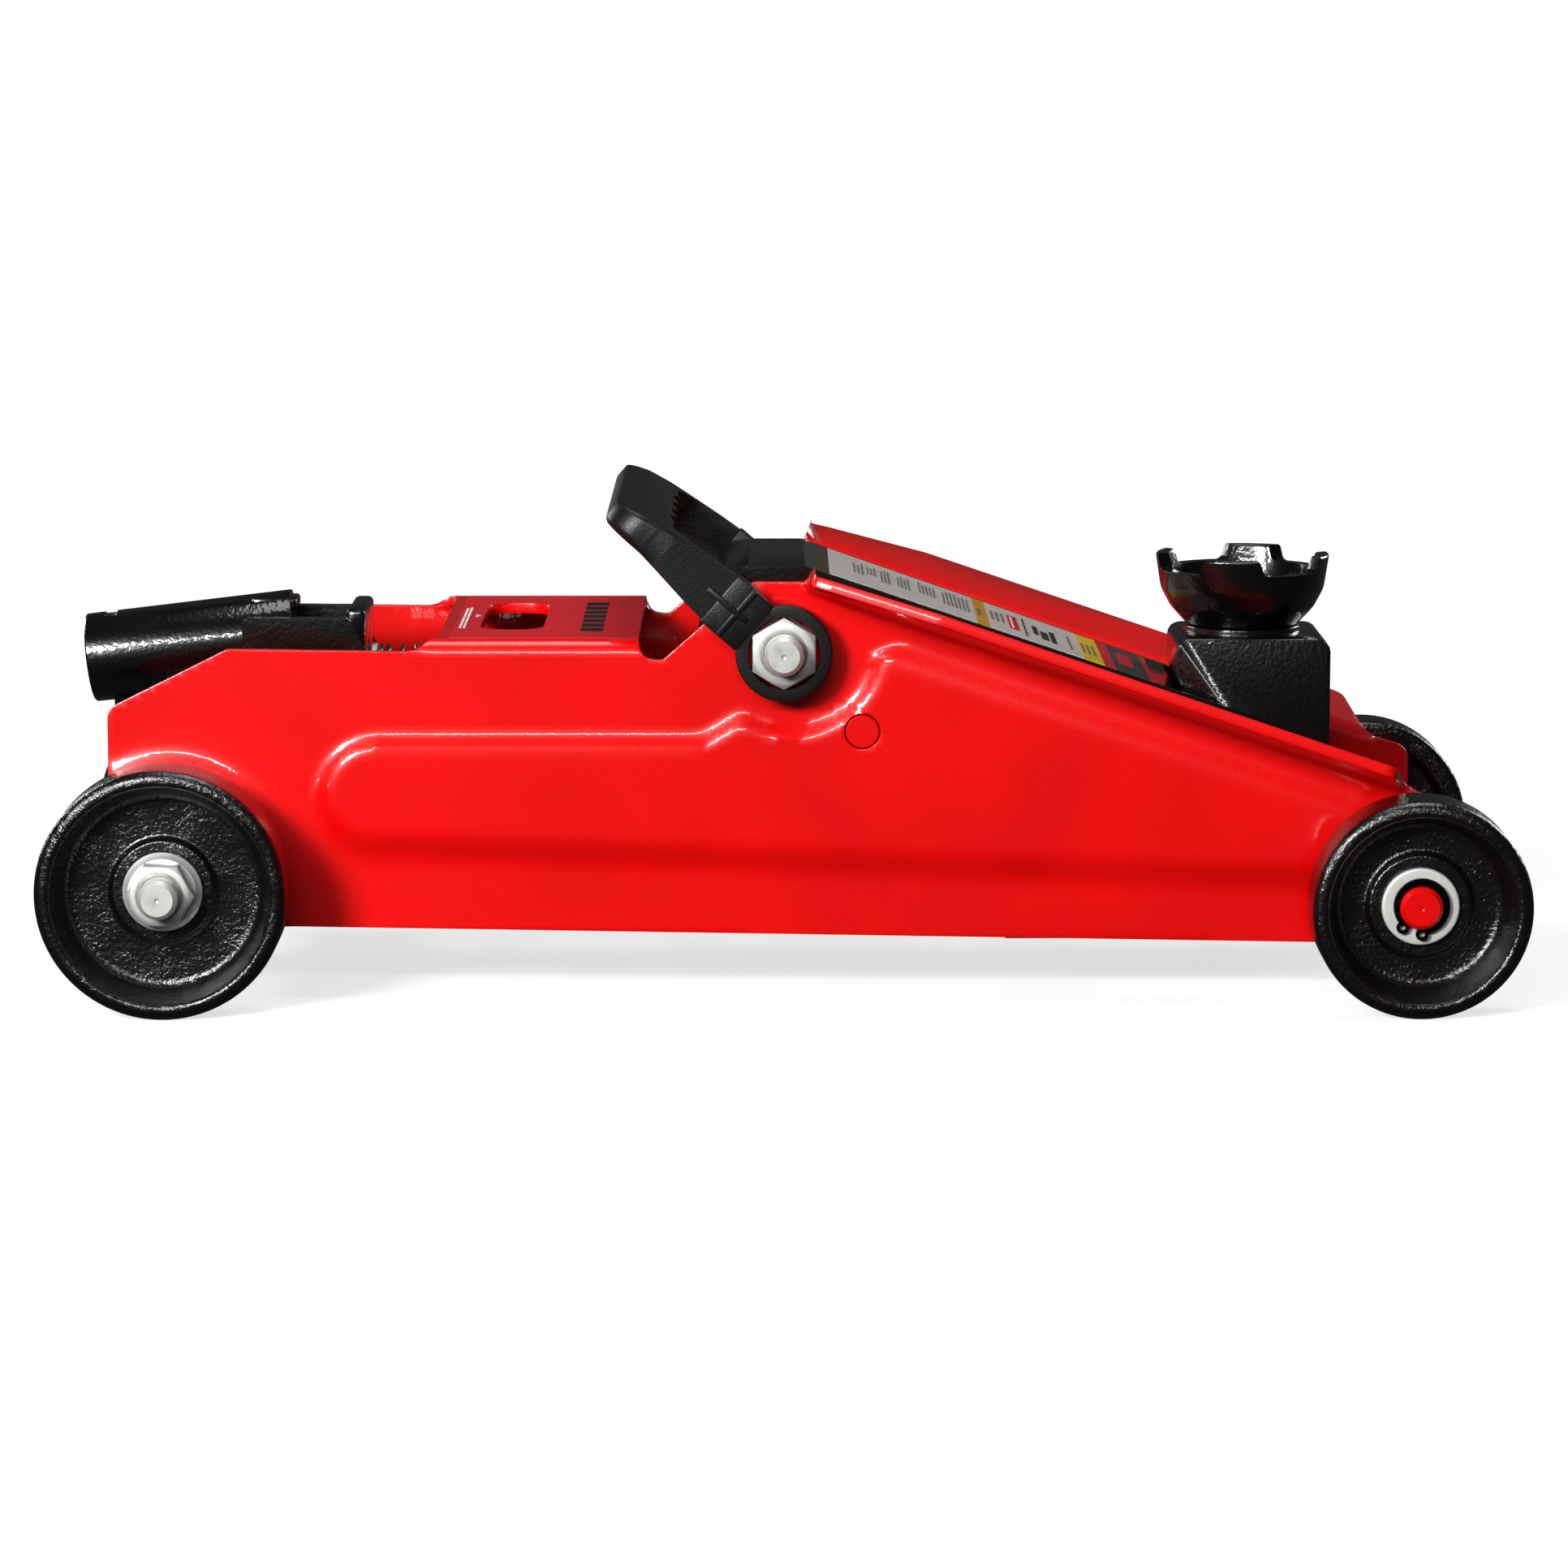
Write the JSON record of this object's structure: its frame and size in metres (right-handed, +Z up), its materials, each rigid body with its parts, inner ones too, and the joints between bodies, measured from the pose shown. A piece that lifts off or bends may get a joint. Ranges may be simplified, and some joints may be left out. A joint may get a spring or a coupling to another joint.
{
  "type": "trolley jack",
  "caption": "Low wheeled hydraulic jack: a pumped ram raises an arm whose turning saddle stays level. It has a socket for a pump bar and a folding carry handle.",
  "frame": {"origin": "floor level below the middle of the object's box, in the middle plane between the side plates", "axes": "+X towards the saddle end, +Z up, +Y to the far side plate; the arm is down, the handle socket and the carry handle are folded back"},
  "size_m": [0.4438, 0.199, 0.1545],
  "materials": {
    "red_enamel": "glossy saturated red enamel over pressed sheet",
    "black_enamel": "glossy black enamel with slight orange peel",
    "black_cast": "rough cast iron under gloss black paint",
    "zinc_plate": "bright zinc plating, slightly dull",
    "black_clip": "blackened spring steel",
    "bright_steel": "machined steel",
    "spring_steel": "bright drawn spring wire",
    "hard_chrome": "ground and polished hard chrome",
    "moulded_plastic": "black moulded plastic with a fine grain",
    "rubber_plug": "matte black rubber"
  },
  "bodies": {
    "chassis": {"frame": "red_enamel", "bottom_tie": "zinc_plate", "unit_base_plate": "zinc_plate", "rear_axle": "zinc_plate", "front_axle": "red_enamel", "rear_axle_nut_near": "zinc_plate", "rear_axle_nut_far": "zinc_plate", "front_washer_near": "zinc_plate", "front_washer_far": "zinc_plate", "front_circlip_near": "black_clip", "front_circlip_far": "black_clip", "pivot_bolt": "zinc_plate", "pivot_spacer_near": "zinc_plate", "pivot_spacer_far": "zinc_plate", "pivot_nut_near": "zinc_plate", "pivot_nut_far": "zinc_plate", "link_stud_near": "red_enamel", "link_stud_far": "red_enamel", "power_unit": "black_enamel", "base_screw_near": "zinc_plate", "base_screw_far": "zinc_plate", "gland_nut": "zinc_plate", "filler_plug": "rubber_plug", "overload_valve": "zinc_plate", "socket_pin": "zinc_plate", "pump_spring": "spring_steel", "return_spring_near": "spring_steel", "return_spring_far": "spring_steel"},
    "lift_arm": {"lift_arm": "black_enamel", "arm_lever_pin": "zinc_plate"},
    "saddle_base": {"saddle_base": "black_enamel", "saddle_base_pin": "zinc_plate", "link_front_pin": "zinc_plate", "link_pin_clip_near": "black_clip", "link_pin_clip_far": "black_clip", "saddle_pin_clip_near": "black_clip", "saddle_pin_clip_far": "black_clip"},
    "saddle": {"saddle": "black_enamel"},
    "link_rods": {"link_rod_near": "black_enamel", "link_rod_far": "black_enamel"},
    "ram": {"ram": "hard_chrome", "ram_head": "bright_steel"},
    "handle_socket": {"handle_socket": "black_enamel"},
    "pump": {"pump_plunger": "hard_chrome", "pump_cap": "zinc_plate"},
    "release_valve": {"release_valve": "zinc_plate"},
    "carry_handle": {"carry_handle": "moulded_plastic"},
    "rear_wheel_near": {"rear_wheel_near": "black_cast"},
    "rear_wheel_far": {"rear_wheel_far": "black_cast"},
    "front_wheel_near": {"front_wheel_near": "black_cast"},
    "front_wheel_far": {"front_wheel_far": "black_cast"}
  },
  "joints": [
    {"name": "arm_lift", "type": "hinge", "parent": "chassis", "child": "lift_arm", "pos_m": [0, 0, 0.1063], "axis": [0, -1, 0], "range_deg": [0, 82]},
    {"name": "saddle_level", "type": "hinge", "parent": "lift_arm", "child": "saddle_base", "pos_m": [0.142, 0, 0.055], "axis": [0, -1, 0], "range_deg": [-82, 0]},
    {"name": "saddle_turn", "type": "hinge", "parent": "saddle_base", "child": "saddle", "pos_m": [0.142, 0, 0.1135], "axis": [0, 0, 1], "continuous": true},
    {"name": "link_swing", "type": "hinge", "parent": "chassis", "child": "link_rods", "pos_m": [0.0235, 0, 0.082], "axis": [0, -1, 0], "range_deg": [0, 82]},
    {"name": "ram_slide", "type": "slide", "parent": "chassis", "child": "ram", "axis": [1, 0, 0], "range_m": [0, 0.053], "deforming": ["return_spring_near", "return_spring_far"]},
    {"name": "socket_pump", "type": "hinge", "parent": "chassis", "child": "handle_socket", "pos_m": [-0.134, 0, 0.084], "axis": [0, 1, 0], "range_deg": [0, 42]},
    {"name": "pump_slide", "type": "slide", "parent": "chassis", "child": "pump", "axis": [1, 0, 0], "range_m": [0, 0.0175], "deforming": ["pump_spring"]},
    {"name": "release_turn", "type": "hinge", "parent": "chassis", "child": "release_valve", "pos_m": [-0.1503, 0, 0.062], "axis": [1, 0, 0], "range_deg": [0, 270]},
    {"name": "carry_swing", "type": "hinge", "parent": "chassis", "child": "carry_handle", "pos_m": [0, 0, 0.1063], "axis": [0, 1, 0], "range_deg": [0, 36]},
    {"name": "rear_wheel_near_spin", "type": "hinge", "parent": "chassis", "child": "rear_wheel_near", "pos_m": [-0.1845, 0, 0.0374], "axis": [0, 1, 0], "continuous": true},
    {"name": "rear_wheel_far_spin", "type": "hinge", "parent": "chassis", "child": "rear_wheel_far", "pos_m": [-0.1845, 0, 0.0374], "axis": [0, 1, 0], "continuous": true},
    {"name": "front_wheel_near_spin", "type": "hinge", "parent": "chassis", "child": "front_wheel_near", "pos_m": [0.1891, 0, 0.0328], "axis": [0, 1, 0], "continuous": true},
    {"name": "front_wheel_far_spin", "type": "hinge", "parent": "chassis", "child": "front_wheel_far", "pos_m": [0.1891, 0, 0.0328], "axis": [0, 1, 0], "continuous": true}
  ],
  "couplings": [
    {"joint": "saddle_level", "follows": "arm_lift", "ratio": -1},
    {"joint": "link_swing", "follows": "arm_lift", "ratio": 1},
    {"joint": "ram_slide", "follows": "arm_lift", "m_per_rad": 0.0368},
    {"joint": "pump_slide", "follows": "socket_pump", "m_per_rad": 0.0237}
  ]
}
